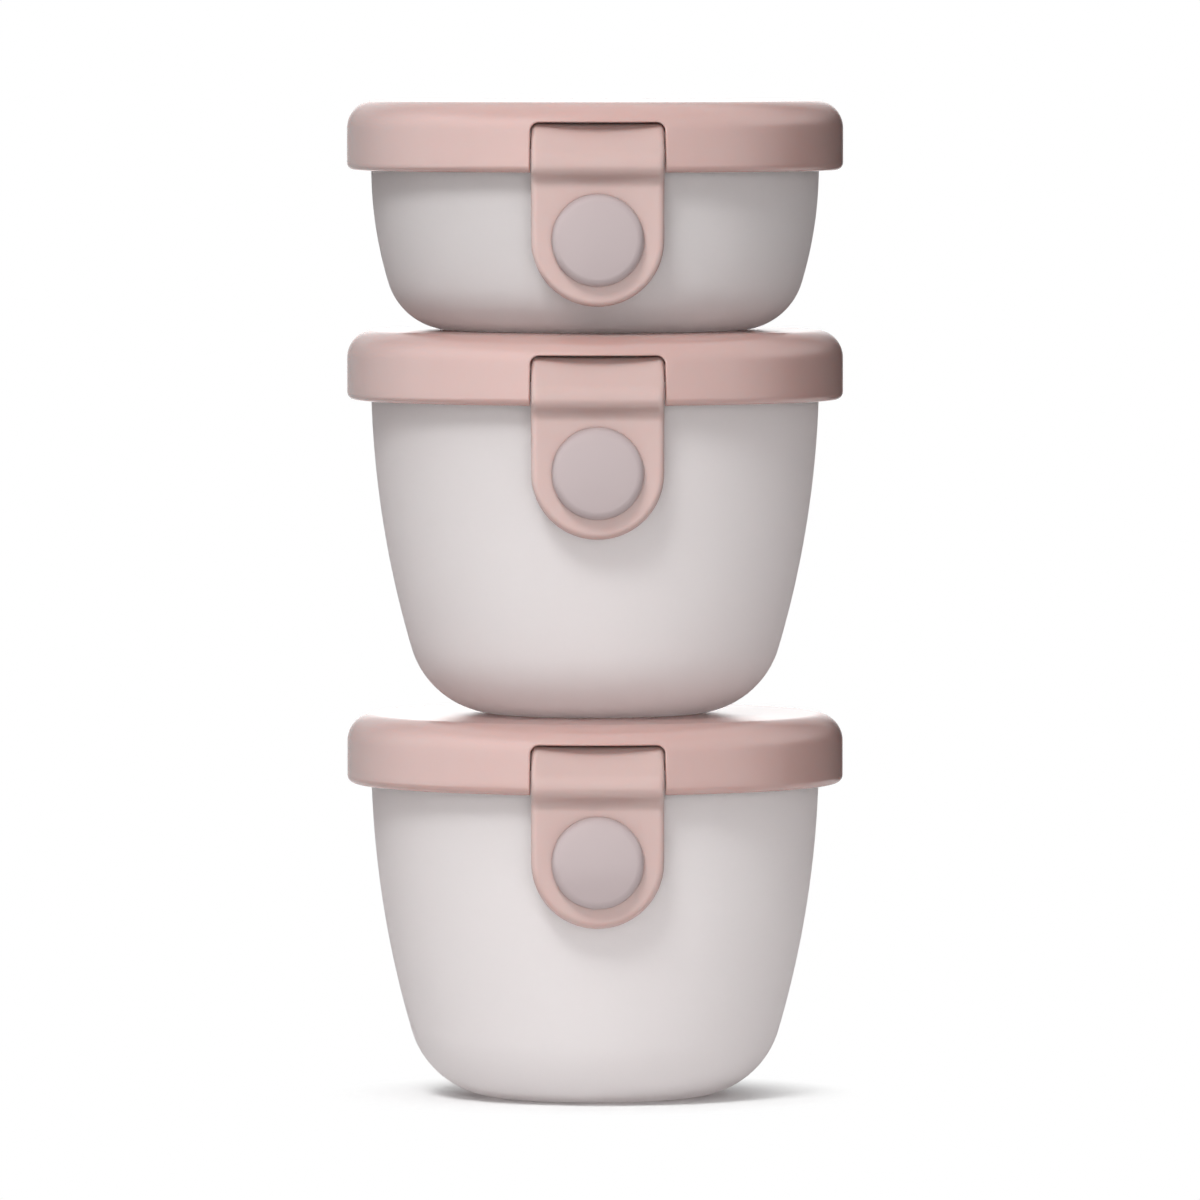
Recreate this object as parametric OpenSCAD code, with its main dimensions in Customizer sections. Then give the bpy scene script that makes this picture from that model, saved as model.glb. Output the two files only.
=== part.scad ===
// Formula dispenser: three round portion cups that stack, each with a lift-off lid and a swing latch.
// The frame's origin is the middle of the lowest foot, +Z is up and the latches face -Y.

/* [Cups] */
// Height of a large cup from its foot to the lower edge of its lid
large_cup_h = 57; // [48:0.5:75]
// Height of the small cup from its foot to the lower edge of its lid
small_cup_h = 29; // [27:0.5:40]
// Outer diameter of a cup at its rim
cup_d = 81.2; // [76:0.2:90]
// Wall thickness of a cup
cup_wall = 1.8; // [1.4:0.1:2.2]
// How far the rim stands up inside the lid
rim_rise = 4.2; // [3.4:0.1:4.6]
// Diameter of a large cup's flat foot
large_foot_d = 35; // [30:1:46]
// Radius of the curve from foot to wall on a large cup
large_heel_r = 16.5; // [12:0.5:20]
// Radius of the long curve of a large cup's wall
large_side_r = 180; // [120:5:240]
// Diameter of the small cup's flat foot
small_foot_d = 52; // [48:1:60]
// Radius of the curve from foot to wall on the small cup
small_heel_r = 12; // [8:0.5:13]
// Radius of the long curve of the small cup's wall
small_side_r = 72; // [60:2:120]
// Depth of the shallow hollow under a foot
foot_hollow = 0.5; // [0.3:0.1:0.8]
// Width of the ring that a cup stands on
foot_ring = 3; // [2:0.5:5]

/* [Lids] */
// Height of a lid from its lower edge to its top
lid_h = 12.6; // [12:0.1:16]
// Thickness of a lid's skirt and top plate
lid_wall = 2; // [1.6:0.1:2.4]
// Space between a cup's rim and the inside of the skirt
skirt_gap = 2.4; // [1.4:0.1:3]
// Rounding of a lid's top edge
lid_edge_r = 5; // [3.5:0.1:6]
// Rounding of a skirt's lower outer edge
lip_r = 1.4; // [0.4:0.1:1.5]
// Thickness of the plug ring inside the cup's mouth
plug_wall = 2; // [1.6:0.1:2.4]
// Space between the plug ring and the cup's inner wall
plug_gap = 1.6; // [1.2:0.1:2]
// How far the plug ring reaches below the lid's lower edge
plug_drop = 1; // [0.4:0.1:2]
// Number of ribs under a lid that rest on the cup's rim
rib_count = 18; // [12:1:24]
// Thickness of a rib
rib_t = 1.2; // [0.8:0.1:1.6]
// Angle left free between a hinge cheek and the next rib
rib_clear_angle = 6; // [4:1:10]

/* [Seals] */
// Height of a seal ring
seal_h = 2.4; // [1.8:0.1:2.8]
// Height of a seal's lower face above the lid's lower edge
seal_z = 0.6; // [0.2:0.1:1]
// Depth of the seal's groove in the plug ring
groove_depth = 1; // [0.7:0.1:1.2]
// Radius of each of a seal's two round lips
seal_lip_r = 0.5; // [0.4:0.05:0.55]

/* [Latches] */
// Width of a latch
latch_w = 23.5; // [20:0.5:28]
// Thickness of a latch's tongue
tongue_t = 2; // [1.6:0.1:2.4]
// How far the thick part of a latch stands in front of its tongue
latch_step = 2.4; // [1:0.1:2.8]
// Radius of both bends of the step from the thick part to the tongue
step_r = 1.7; // [1.5:0.1:2]
// Space between the eye and the foot of that step
step_space = 0.2; // [0.1:0.05:0.6]
// Radius of a latch's hinge barrel
barrel_r = 2; // [1.7:0.1:2.2]
// Radius of the trunnions at a latch's sides
trunnion_r = 1; // [0.8:0.05:1.2]
// How far a trunnion stands out of the latch's side
trunnion_len = 1.7; // [1.2:0.1:2]
// How far the hinge lies behind the lid's front
hinge_set = 4; // [3.8:0.1:4.4]
// Slope of the latch's upper front, from upright
brow_angle = 30; // [20:1:32]
// Radius of the bend from that slope to the upright front
brow_bend_r = 7; // [4:0.5:8]
// Rounding of the thick part's upright front edges
brow_edge_r = 1.2; // [0.6:0.1:1.6]
// Rounding of the pocket's upper corners
pocket_corner_r = 1.6; // [1:0.1:1.8]
// Thickness of the hinge cheeks beside the pocket
cheek_t = 3; // [2.4:0.1:4]
// Space left between the pocket and the plug ring behind it
pocket_back_gap = 0.4; // [0.3:0.05:0.6]

/* [Studs] */
// Diameter of a stud's head
stud_d = 16.4; // [14:0.2:18]
// How far a stud's head stands in front of the latch's tongue
head_h = 3.2; // [2.6:0.1:4]
// Rounding of the head's edge
head_edge_r = 2; // [1.8:0.1:2.4]
// Depth of the straight band at the head's widest place
head_band = 0.5; // [0.3:0.1:0.7]
// Depth of the slope from that band to the neck
head_slope = 0.5; // [0.3:0.1:0.7]
// Depth of the stud's middle below the lid's lower edge
stud_drop = 12; // [11:0.5:13.5]
// Radius of the neck behind the head
neck_r = 6; // [5:0.1:6.4]
// Radius of the peg that is pressed into the cup's boss
peg_r = 4; // [3:0.1:4.6]
// Width of the boss's face around the neck
boss_rim = 3; // [0.6:0.1:3.2]
// Thickness of cup left behind the peg's socket
socket_floor = 1; // [0.8:0.1:1.2]

/* [Clearances] */
// Gap on each side between a latch and its pocket
latch_gap = 0.4; // [0.3:0.05:0.6]
// Gap between the tongue and the boss behind it
tongue_gap = 0.3; // [0.2:0.05:0.4]
// Gap between the cup's wall and the back of the latch
wall_gap = 0.6; // [0.4:0.05:0.8]
// Gap between the hinge barrel and the pocket's upper edge
roof_gap = 0.7; // [0.5:0.05:1]
// Gap between the cup's rim and the hinge barrel above it
rim_gap = 0.4; // [0.3:0.05:0.6]
// Gap between the stud's head and the front edge of the eye
eye_gap = 0.4; // [0.35:0.05:0.5]
// Extra width of the eye at the tongue's back
eye_flare = 1; // [0.95:0.05:1.2]
// Radial gap between a trunnion and its bore
pivot_gap = 0.05; // [0.03:0.01:0.08]
// Radial gap between a seal and its groove or the cup
seal_gap = 0.12; // [0.08:0.01:0.2]
// Gap between a peg and its socket
peg_gap = 0.03; // [0.02:0.01:0.05]

/* [Hidden] */
$fn = 96;

// How far one solid is let into another where they are moulded as one
weld = 0.4;
// How far a cutter runs past the face that it cuts
past = 1;

// Radii from the stack's axis
cup_r = cup_d / 2;
mouth_r = cup_r - cup_wall;
plug_r = mouth_r - plug_gap;
skirt_r = cup_r + skirt_gap;
lid_r = skirt_r + lid_wall;

// Heights above a lid's lower edge
plate_z = lid_h - lid_wall;
hinge_z = rim_rise + rim_gap + barrel_r;
pocket_top = hinge_z + barrel_r + roof_gap;

// Distances in front of the stack's axis
hinge_y = lid_r - hinge_set;
tongue_back = cup_r + wall_gap;
tongue_front = tongue_back + tongue_t;
brow_front = tongue_front + latch_step;
boss_face = tongue_back - tongue_gap;
pocket_w = latch_w + 2 * latch_gap;

// Stud and eye
stud_r = stud_d / 2;
eye_r = stud_r + eye_gap;
boss_r = neck_r + boss_rim;

// Feet of the three units above the origin
unit_h = large_cup_h + lid_h;
lower_z = 0;
middle_z = unit_h;
upper_z = 2 * unit_h;

// Colours as the photo shows them
frost = [0.88, 0.86, 0.86];
clear_frost = [0.80, 0.74, 0.75];
pink = [0.82, 0.68, 0.65];
soft_pink = [0.83, 0.72, 0.68];
white_rubber = [0.93, 0.92, 0.90];

// A cup's form: visible height, radius of the flat foot, heel radius and side radius
large_form = [large_cup_h, large_foot_d / 2, large_heel_r, large_side_r];
small_form = [small_cup_h, small_foot_d / 2, small_heel_r, small_side_r];

// Centre of the side arc, which meets the heel arc smoothly and ends at the lid's lower edge
function side_centre(form) =
    let (heel = [form[1], form[2]],
         mouth = [cup_r, form[0]],
         reach = norm(mouth - heel),
         along = (mouth - heel) / reach,
         across = [-along[1], along[0]],
         inner = form[3] - form[2],
         step = (inner * inner - form[3] * form[3] + reach * reach) / (2 * reach))
    heel + step * along + sqrt(inner * inner - step * step) * across;

// Point where the heel arc ends and the side arc begins, drawn in by a wall thickness
function heel_end(form, inset) =
    let (heel = [form[1], form[2]],
         out = heel - side_centre(form))
    heel + (form[2] - inset) * out / norm(out);

// Points along an arc, from one angle to another
function arc(centre, radius, from, to, steps = 8) =
    [for (i = [0 : steps]) centre + radius * [cos(from + (to - from) * i / steps),
                                              sin(from + (to - from) * i / steps)]];

// Quarter disc in the corner of the first quadrant
module quarter(r) {
    intersection() {
        circle(r);
        square(r);
    }
}

// Filled half section of a cup, drawn in by a wall thickness
module cup_fill(form, inset, top) {
    end = heel_end(form, inset);
    side = side_centre(form);
    translate([0, inset]) square([form[1], end[1] - inset]);
    intersection() {
        translate([form[1], form[2]]) circle(form[2] - inset);
        translate([form[1], inset]) square([form[2], end[1] - inset]);
    }
    intersection() {
        translate(side) circle(form[3] - inset, $fn = 360);
        translate([0, end[1]]) square([cup_r - inset, form[0] - end[1] + weld]);
    }
    translate([0, form[0]]) square([cup_r - inset, top - form[0]]);
}

// Filled half section with a rounded top edge
module cap_fill(r, h, edge) {
    square([r - edge, h]);
    translate([r - edge, 0]) square([edge, h - edge]);
    translate([r - edge, h - edge]) quarter(edge);
}

// Turns a solid drawn along +Z so that it points to the front, at a height
module facing_front(z) {
    translate([0, 0, z]) rotate([90, 0, 0]) children();
}

// Cup: bowl with a foot ring, a straight rim and a boss for the stud
module cup(form) {
    stud_z = form[0] - stud_drop;
    hollow_r = form[1] - foot_ring;
    color(frost) difference() {
        union() {
            rotate_extrude() cup_fill(form, 0, form[0] + rim_rise);
            facing_front(stud_z) cylinder(r = boss_r, h = boss_face);
        }
        rotate_extrude() cup_fill(form, cup_wall, form[0] + rim_rise + past);
        translate([0, 0, -past]) cylinder(r = hollow_r, h = past + foot_hollow);
        facing_front(stud_z) translate([0, 0, socket_end(form)]) cylinder(r = peg_r + peg_gap, h = boss_face);
    }
}

// Outer radius of a cup's side at a height on the side arc
function side_r_at(form, z) =
    let (side = side_centre(form))
    side[0] + sqrt(pow(form[3], 2) - pow(z - side[1], 2));

// Distance from the axis to the bottom of the peg's socket
function socket_end(form) = side_r_at(form, form[0] - stud_drop) - cup_wall + socket_floor;

// Stud: domed head, neck and a peg in the boss, drawn along its own axis
module stud(form) {
    edge_at = stud_r - head_edge_r;
    crown = head_h - head_edge_r;
    dome_drop = (edge_at * edge_at - crown * crown) / (2 * crown);
    dome_r = dome_drop + head_h;
    meet_r = edge_at * dome_r / (dome_r - head_edge_r);
    color(clear_frost) facing_front(form[0] - stud_drop) rotate_extrude() {
        translate([0, socket_end(form) + peg_gap]) square([peg_r, boss_face - socket_end(form)]);
        polygon([[0, boss_face], [neck_r, boss_face], [neck_r, tongue_front - head_band - head_slope],
                 [stud_r, tongue_front - head_band], [stud_r, tongue_front], [0, tongue_front]]);
        intersection() {
            translate([0, tongue_front - dome_drop]) circle(dome_r, $fn = 180);
            translate([0, tongue_front]) square([meet_r, head_h]);
        }
        translate([edge_at, tongue_front]) quarter(head_edge_r);
    }
}

// Half section of a lid: skirt, top plate and plug ring with its groove
module lid_section() {
    difference() {
        cap_fill(lid_r, lid_h, lid_edge_r);
        cap_fill(skirt_r, plate_z, lid_edge_r - lid_wall);
        translate([lid_r, 0]) mirror([1, 0]) difference() {
            square(lip_r);
            translate([lip_r, lip_r]) circle(lip_r);
        }
    }
    difference() {
        translate([plug_r - plug_wall, -plug_drop]) square([plug_wall, plate_z + plug_drop + weld]);
        translate([plug_r - groove_depth, seal_z]) square([groove_depth + past, seal_h]);
    }
}

// Ribs between plug ring and skirt, spread over all but the front
module lid_ribs() {
    clear_angle = asin((pocket_w / 2 + cheek_t) / skirt_r) + rib_clear_angle;
    pitch = (360 - 2 * clear_angle) / (rib_count - 1);
    inner = plug_r - weld;
    for (i = [0 : rib_count - 1])
        rotate(clear_angle + i * pitch - 90)
            translate([inner, -rib_t / 2, rim_rise])
                cube([skirt_r + weld - inner, rib_t, lid_h]);
}

// Hinge cheeks beside the pocket, which run from the plug ring to the skirt
module lid_cheeks() {
    outside = pocket_w / 2 + cheek_t;
    back = sqrt(pow(plug_r - weld, 2) - pow(outside, 2));
    for (side = [0, 1]) mirror([side, 0, 0])
        translate([pocket_w / 2, -lid_r, hinge_z - barrel_r])
            cube([cheek_t, lid_r - back, lid_h]);
}

// Opening of the pocket, seen from the front
module pocket_outline() {
    flat = pocket_w / 2 - pocket_corner_r;
    for (side = [0, 1]) mirror([side, 0]) {
        translate([0, -plug_drop - past]) square([flat, pocket_top + plug_drop + past]);
        translate([flat, -plug_drop - past])
            square([pocket_corner_r, pocket_top - pocket_corner_r + plug_drop + past]);
        translate([flat, pocket_top - pocket_corner_r]) quarter(pocket_corner_r);
    }
}

// Lid: cap with ribs that rest on the rim and a front pocket with trunnion bores
module lid() {
    bore_len = latch_gap + trunnion_len + pivot_gap;
    color(pink) difference() {
        union() {
            rotate_extrude() lid_section();
            intersection() {
                union() {
                    lid_ribs();
                    lid_cheeks();
                }
                rotate_extrude() cap_fill(skirt_r + weld, plate_z + weld, lid_edge_r - lid_wall + weld);
            }
        }
        translate([0, -plug_r - pocket_back_gap, 0]) rotate([90, 0, 0])
            linear_extrude(lid_r) pocket_outline();
        translate([0, -hinge_y, hinge_z]) rotate([0, 90, 0])
            cylinder(r = trunnion_r + pivot_gap, h = latch_w + 2 * bore_len, center = true);
    }
}

// Seal: ring in the plug's groove with two round lips towards the cup
module seal() {
    inner = plug_r - groove_depth + seal_gap;
    lip_centre = mouth_r - seal_gap - seal_lip_r;
    color(white_rubber) rotate_extrude() {
        translate([inner, seal_z + seal_gap]) square([lip_centre - inner, seal_h - 2 * seal_gap]);
        for (share = [1 / 4, 3 / 4])
            translate([lip_centre, seal_z + seal_h * share]) circle(seal_lip_r);
    }
}

// Side view of a latch, with the distance to the front across and the height up
module latch_profile() {
    brow_lean = [cos(brow_angle), sin(brow_angle)];
    lean_start = [hinge_y, hinge_z] + barrel_r * brow_lean;
    brow_top = lean_start[1] - (brow_front - lean_start[0]) / tan(brow_angle);
    bend_z = brow_top - brow_bend_r * tan(brow_angle / 2);
    step_turn = acos(1 - latch_step / (2 * step_r));
    step_half = step_r * sin(step_turn);
    step_foot = eye_r + step_space - stud_drop;
    tongue_end = -stud_drop - latch_w / 2;
    translate([hinge_y, hinge_z]) circle(barrel_r);
    polygon(concat(
        [[tongue_back, hinge_z], lean_start],
        arc([brow_front - brow_bend_r, bend_z], brow_bend_r, brow_angle, 0),
        arc([brow_front - step_r, step_foot + 2 * step_half], step_r, 0, -step_turn),
        arc([tongue_front + step_r, step_foot], step_r, 180 - step_turn, 180),
        [[tongue_front, tongue_end], [tongue_back, tongue_end]]));
}

// Front view of a latch: straight sides, rounded upper corners and a round lower end
module latch_outline() {
    half = latch_w / 2;
    corner = pocket_corner_r - latch_gap;
    top = hinge_z + barrel_r;
    translate([0, -stud_drop]) circle(half);
    for (side = [0, 1]) mirror([side, 0]) {
        translate([0, -stud_drop]) square([half, top - corner + stud_drop]);
        translate([0, top - corner]) square([half - corner, corner]);
        translate([half - corner, top - corner]) quarter(corner);
    }
}

// Latch seen from above: its front edges are rounded where the thick part stands out
module latch_plan() {
    half = latch_w / 2;
    flat = half - brow_edge_r;
    for (side = [0, 1]) mirror([side, 0]) {
        square([flat, brow_front]);
        translate([flat, 0]) square([brow_edge_r, brow_front - brow_edge_r]);
        translate([flat, brow_front - brow_edge_r]) quarter(brow_edge_r);
    }
}

// Latch: flap on two trunnions with a flared eye that swings clear of the stud
module latch() {
    eye_slope = eye_flare / tongue_t;
    color(soft_pink) {
        difference() {
            intersection() {
                rotate([90, 0, -90]) linear_extrude(2 * latch_w, center = true) latch_profile();
                rotate([90, 0, 0]) linear_extrude(2 * lid_r) latch_outline();
                rotate([0, 0, 180]) linear_extrude(2 * lid_r, center = true) latch_plan();
            }
            facing_front(-stud_drop) translate([0, 0, tongue_back - past])
                cylinder(r1 = eye_r + eye_flare + past * eye_slope, r2 = eye_r - past * eye_slope,
                         h = tongue_t + 2 * past);
        }
        translate([0, -hinge_y, hinge_z]) rotate([0, 90, 0])
            cylinder(r = trunnion_r, h = latch_w + 2 * trunnion_len, center = true);
    }
}

translate([0, 0, lower_z]) cup(large_form);  // lower_cup
translate([0, 0, lower_z]) stud(large_form);  // lower_stud
translate([0, 0, lower_z + large_cup_h]) lid();  // lower_lid
translate([0, 0, lower_z + large_cup_h]) seal();  // lower_seal
translate([0, 0, lower_z + large_cup_h]) latch();  // lower_latch
translate([0, 0, middle_z]) cup(large_form);  // middle_cup
translate([0, 0, middle_z]) stud(large_form);  // middle_stud
translate([0, 0, middle_z + large_cup_h]) lid();  // middle_lid
translate([0, 0, middle_z + large_cup_h]) seal();  // middle_seal
translate([0, 0, middle_z + large_cup_h]) latch();  // middle_latch
translate([0, 0, upper_z]) cup(small_form);  // upper_cup
translate([0, 0, upper_z]) stud(small_form);  // upper_stud
translate([0, 0, upper_z + small_cup_h]) lid();  // upper_lid
translate([0, 0, upper_z + small_cup_h]) seal();  // upper_seal
translate([0, 0, upper_z + small_cup_h]) latch();  // upper_latch
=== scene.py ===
import math

import bmesh
import bpy
from mathutils import Matrix, Vector
from mathutils.geometry import delaunay_2d_cdt


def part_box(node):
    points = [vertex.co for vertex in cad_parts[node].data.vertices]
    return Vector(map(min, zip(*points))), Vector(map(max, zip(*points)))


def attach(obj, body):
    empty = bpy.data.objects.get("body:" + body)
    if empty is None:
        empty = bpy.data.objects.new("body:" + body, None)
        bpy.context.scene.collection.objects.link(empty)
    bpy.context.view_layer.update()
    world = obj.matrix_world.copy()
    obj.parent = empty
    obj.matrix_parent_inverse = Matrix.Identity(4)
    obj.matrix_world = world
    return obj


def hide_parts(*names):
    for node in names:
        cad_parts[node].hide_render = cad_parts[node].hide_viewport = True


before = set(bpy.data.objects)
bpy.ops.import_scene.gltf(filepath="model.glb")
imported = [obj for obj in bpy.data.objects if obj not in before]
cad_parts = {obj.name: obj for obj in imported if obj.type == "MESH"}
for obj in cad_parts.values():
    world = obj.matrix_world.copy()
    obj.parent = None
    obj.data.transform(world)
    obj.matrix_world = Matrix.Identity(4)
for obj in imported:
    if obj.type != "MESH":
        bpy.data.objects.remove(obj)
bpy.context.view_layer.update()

mm = 0.001  # all sizes below are millimetres, turned to metres where a point is placed
tiny = 1e-6  # lengths below this count as nothing
nearby = 1e-4  # points closer than this are the same one
shortHold = 0.05  # flat kept beside a small rounding
sharpAngle = math.radians(38)  # faces that meet at more than this show an edge
quarterTurn = [math.radians(15 * k) for k in range(7)]  # steps of a rounded edge
units = ["lower", "middle", "upper"]
scene = bpy.context.scene
scene.view_settings.view_transform = "Standard"

# heights of each unit, read from the frame
lidHeight = 12.6
cupBase = {unit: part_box(unit + "_cup")[0].z / mm for unit in units}
lidBase = {unit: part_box(unit + "_lid")[1].z / mm - lidHeight for unit in units}
print("frame read: lids stand at", [round(lidBase[unit], 2) for unit in units])


# small tools for paths and meshes

def arcPoints(centre, radius, start, end, step=5.0):
    count = max(2, math.ceil(abs(end - start) / step))
    turns = [math.radians(start + (end - start) * i / count) for i in range(count + 1)]
    return [Vector((centre[0] + radius * math.cos(a), centre[1] + radius * math.sin(a))) for a in turns]


def roundedPath(corners, closed=False, step=15.0, hold=0.12):
    path = []
    last = len(corners) - 1
    for i, corner in enumerate(corners):
        here = Vector(corner[:2])
        radius = corner[2] if len(corner) > 2 else 0
        if radius == 0 or (not closed and i in (0, last)):
            path.append(here)
            continue
        back = (Vector(corners[i - 1][:2]) - here).normalized()
        ahead = (Vector(corners[(i + 1) % (last + 1)][:2]) - here).normalized()
        half = back.angle(ahead) / 2
        start = here + back * radius / math.tan(half)
        end = here + ahead * radius / math.tan(half)
        centre = here + (back + ahead).normalized() * radius / math.sin(half)
        first = math.degrees(math.atan2(start.y - centre.y, start.x - centre.x))
        turn = math.degrees(math.atan2(end.y - centre.y, end.x - centre.x)) - first
        turn = (turn + 180) % 360 - 180
        path.append(start + back * hold)  # keeps the flat beside the rounding flat
        path += arcPoints(centre, radius, first, first + turn, step)
        path.append(end + ahead * hold)
    return path


def splitLong(path, longest):
    fine = [path[0]]
    for here, there in zip(path, path[1:]):
        count = max(1, math.ceil((there - here).length / longest))
        fine += [here.lerp(there, (i + 1) / count) for i in range(count)]
    return fine


def bridge(bm, ringA, ringB, wrap=False):
    count = max(len(ringA), len(ringB))
    for j in range(count if wrap else count - 1):
        k = (j + 1) % count
        corners = [ringA[j % len(ringA)], ringA[k % len(ringA)]]
        corners += [ringB[k % len(ringB)], ringB[j % len(ringB)]]
        bm.faces.new(list(dict.fromkeys(corners)))


def lathe(bm, profile, place, segments, closed=False):
    rings = []
    for r, h in profile:
        turns = [2 * math.pi * j / segments for j in range(segments if r > tiny else 1)]
        rings.append([bm.verts.new(place(r, h, a)) for a in turns])
    if closed:
        rings.append(rings[0])
    for ringA, ringB in zip(rings, rings[1:]):
        bridge(bm, ringA, ringB, wrap=True)


def fillFlat(bm, loops, extra, keep):
    # triangles between the given loops of (vertex, x, z), through the extra points
    points = [p for loop in loops for p in loop] + extra
    edges = []
    start = 0
    for loop in loops:
        edges += [(start + i, start + (i + 1) % len(loop)) for i in range(len(loop))]
        start += len(loop)
    flat = [Vector((x, z)) for _, x, z in points]
    made = delaunay_2d_cdt(flat, edges, [], 0, tiny)
    for face in made[2]:
        middle = sum((made[0][i] for i in face), Vector((0, 0))) / len(face)
        if keep(middle.x, middle.y):
            bm.faces.new([points[made[3][i][0]][0] for i in face])


def standing(base):
    return lambda r, h, a: Vector((r * math.sin(a), -r * math.cos(a), base + h)) * mm


def facingFront(height):
    return lambda r, h, a: Vector((r * math.sin(a), -h, height + r * math.cos(a))) * mm


def alongX(u, height):
    return lambda r, h, a: Vector((h, -u + r * math.sin(a), height + r * math.cos(a))) * mm


def toObject(name, bm):
    bmesh.ops.recalc_face_normals(bm, faces=bm.faces)
    mesh = bpy.data.meshes.new(name)
    bm.to_mesh(mesh)
    bm.free()
    mesh.shade_smooth()
    mesh.set_sharp_from_angle(angle=sharpAngle)
    obj = bpy.data.objects.new(name, mesh)
    scene.collection.objects.link(obj)
    return obj


def bakeModifiers(obj):
    graph = bpy.context.evaluated_depsgraph_get()
    mesh = bpy.data.meshes.new_from_object(obj.evaluated_get(graph))
    obj.modifiers.clear()
    obj.data = mesh


def combine(base, other, operation):
    step = base.modifiers.new(operation, "BOOLEAN")
    step.solver = "MANIFOLD"
    step.operation = operation
    step.object = other
    bakeModifiers(base)
    bpy.data.objects.remove(other)


def finishPiece(obj, unit, kind, bodyKind):
    obj.data.materials.clear()
    obj.data.materials.append(finishes[kind])
    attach(obj, unit + "_" + bodyKind)
    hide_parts(unit + "_" + kind)


def setOnEachUnit(shape, ending, kind):
    # copies of a shape that was made with the lid's foot at zero height
    for unit in units:
        mesh = shape.data.copy()
        mesh.transform(Matrix.Translation((0, 0, lidBase[unit] * mm)))
        obj = bpy.data.objects.new(unit + ending, mesh)
        scene.collection.objects.link(obj)
        finishPiece(obj, unit, kind, kind)
    bpy.data.objects.remove(shape)


# materials

class Wire:
    def __init__(self, tree, socket=None):
        self.tree = tree
        self.socket = socket

    def node(self, kind, settings=None, sockets=None, out=0):
        made = self.tree.nodes.new(kind)
        for key, value in (settings or {}).items():
            if key == "stops":
                ramp = made.color_ramp.elements
                while len(ramp) < len(value):
                    ramp.new(1.0)
                for element, (position, colour) in zip(ramp, value):
                    element.position = position
                    element.color = colour
            else:
                setattr(made, key, value)
        for key, value in (sockets or {}).items():
            if isinstance(value, Wire):
                self.tree.links.new(value.socket, made.inputs[key])
            else:
                made.inputs[key].default_value = value
        return Wire(self.tree, made.outputs[out])

    def math(self, operation, first, second):
        return self.node("ShaderNodeMath", {"operation": operation}, {0: first, 1: second})

    def __add__(self, other):
        return self.math("ADD", self, other)

    def __radd__(self, other):
        return self.math("ADD", other, self)

    def __sub__(self, other):
        return self.math("SUBTRACT", self, other)

    def __rsub__(self, other):
        return self.math("SUBTRACT", other, self)

    def __mul__(self, other):
        return self.math("MULTIPLY", self, other)

    def __rmul__(self, other):
        return self.math("MULTIPLY", other, self)

    def __truediv__(self, other):
        return self.math("DIVIDE", self, other)

    def __rtruediv__(self, other):
        return self.math("DIVIDE", other, self)


def newTree(name):
    material = bpy.data.materials.new(name)
    material.use_nodes = True
    material.node_tree.nodes.clear()
    return material, Wire(material.node_tree)


def srgb(red, green, blue):
    def level(value):
        share = value / 255
        return share / 12.92 if share <= 0.04045 else ((share + 0.055) / 1.055) ** 2.4
    return (level(red), level(green), level(blue), 1.0)


def objectPoint(wire):
    return wire.node("ShaderNodeTexCoord", out=3)


def noise(wire, point, scale, detail):
    return wire.node("ShaderNodeTexNoise", {}, {"Vector": point, "Scale": scale, "Detail": detail})


def mixColours(wire, factor, first, second):
    settings = {"data_type": "RGBA", "clamp_factor": False}  # a clamped factor leaves edges in the colour
    return wire.node("ShaderNodeMix", settings, {0: factor, 6: first, 7: second}, out=2)


def bump(wire, height, strength, distance):
    values = {"Height": height, "Strength": strength, "Distance": distance * mm}
    return wire.node("ShaderNodeBump", {}, values)


def output(wire, shader):
    target = wire.tree.nodes.new("ShaderNodeOutputMaterial")
    wire.tree.links.new(shader.socket, target.inputs["Surface"])


# what varies over each finish: two colours, clouds between them, smudges in the gloss and a fine grain
lidFinish = dict(colour=srgb(177, 144, 138), deep=srgb(172, 138, 132), rough=0.24, roughSpread=0.05,
                 ior=1.49, specular=1.0, cloud=60.0, smudge=140.0, smudgeDetail=4.0,
                 grain=420.0, grainDetail=1.0, relief=0.1, reliefDepth=0.03)
latchFinish = dict(colour=srgb(177, 151, 146), deep=srgb(172, 145, 140), rough=0.38, roughSpread=0.08,
                   ior=1.49, specular=1.0, cloud=80.0, smudge=300.0, smudgeDetail=3.0,
                   grain=2600.0, grainDetail=2.0, relief=0.12, reliefDepth=0.02)
cupFinish = dict(colour=srgb(253, 251, 251), deep=srgb(251, 248, 248), rough=0.42, roughSpread=0.08,
                 ior=1.49, specular=0.12, cloud=45.0, smudge=200.0, smudgeDetail=3.0,
                 grain=1500.0, grainDetail=2.0, relief=0.15, reliefDepth=0.02,
                 through=0.64, coat=0.0, coatRough=0.14)
studFinish = dict(colour=srgb(203, 188, 188), deep=srgb(197, 182, 183), rough=0.34, roughSpread=0.08,
                  ior=1.49, specular=0.5, cloud=45.0, smudge=200.0, smudgeDetail=3.0,
                  grain=2200.0, grainDetail=2.0, relief=0.15, reliefDepth=0.02,
                  through=0.4, coat=0.6, coatRough=0.14)
sealFinish = dict(colour=srgb(236, 234, 229), deep=srgb(228, 225, 219), rough=0.6, roughSpread=0.1,
                  ior=1.41, specular=0.5, cloud=120.0, smudge=500.0, smudgeDetail=2.0,
                  grain=1800.0, grainDetail=2.0, relief=0.1, reliefDepth=0.02)
pinkDepth = dict(weight=0.5, radius=(1.0, 0.4, 0.3), scale=1.5)  # how far light sinks into the pink plastic
cloudDetail = 3.0
noiseMiddle = 0.5


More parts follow.
